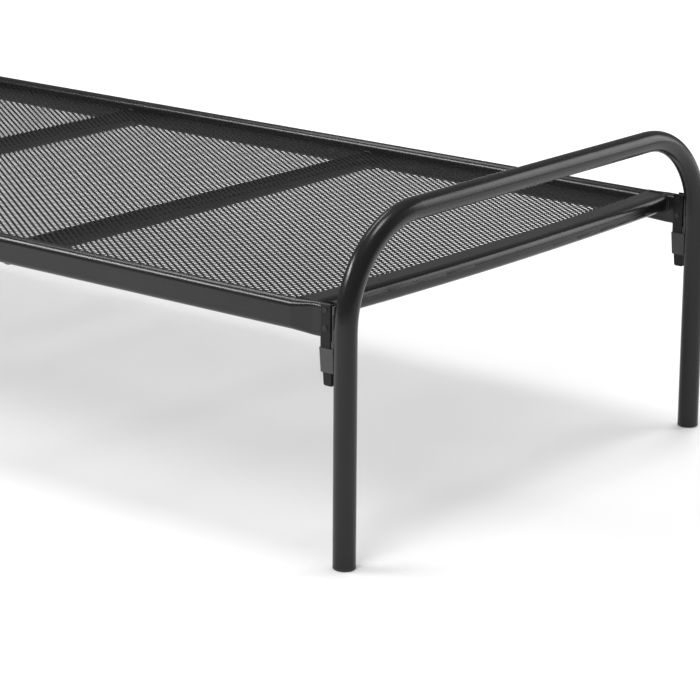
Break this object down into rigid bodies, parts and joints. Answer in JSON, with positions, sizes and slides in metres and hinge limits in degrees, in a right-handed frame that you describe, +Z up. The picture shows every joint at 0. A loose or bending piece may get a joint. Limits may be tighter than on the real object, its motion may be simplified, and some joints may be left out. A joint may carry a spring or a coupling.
{
  "type": "dog bed with frame",
  "caption": "Raised steel dog bed: an open mesh platform hooked between two bent-tube end frames with armrest-like top rails.",
  "frame": {"origin": "centre of the footprint, on the floor", "axes": "+X along the bed's length towards the right end frame, +Y across towards the back rail, +Z up"},
  "size_m": [1.27, 0.606, 0.337],
  "materials": {
    "frame_coat": "satin anthracite powder coat",
    "mesh_coat": "satin anthracite powder coat on open steel mesh",
    "fitting_coat": "satin anthracite powder coat on pressed sheet",
    "rivet_coat": "satin coated rivet",
    "foot_plastic": "matte black moulded plastic"
  },
  "bodies": {
    "platform": {"front_rail": "frame_coat", "back_rail": "frame_coat", "left_cross_rail": "frame_coat", "right_cross_rail": "frame_coat", "left_brace": "frame_coat", "right_brace": "frame_coat", "mesh_deck": "mesh_coat", "left_front_hook": "fitting_coat", "left_front_rivets": "rivet_coat", "left_back_hook": "fitting_coat", "left_back_rivets": "rivet_coat", "right_front_hook": "fitting_coat", "right_front_rivets": "rivet_coat", "right_back_hook": "fitting_coat", "right_back_rivets": "rivet_coat"},
    "left_end_frame": {"left_end_tube": "frame_coat", "left_front_socket": "fitting_coat", "left_front_foot_cap": "foot_plastic", "left_back_socket": "fitting_coat", "left_back_foot_cap": "foot_plastic"},
    "right_end_frame": {"right_end_tube": "frame_coat", "right_front_socket": "fitting_coat", "right_front_foot_cap": "foot_plastic", "right_back_socket": "fitting_coat", "right_back_foot_cap": "foot_plastic"}
  },
  "joints": [
    {"name": "left_end_unhook", "type": "slide", "parent": "platform", "child": "left_end_frame", "axis": [0, 0, 1], "range_m": [-0.06, 0]},
    {"name": "right_end_unhook", "type": "slide", "parent": "platform", "child": "right_end_frame", "axis": [0, 0, 1], "range_m": [-0.06, 0]}
  ]
}
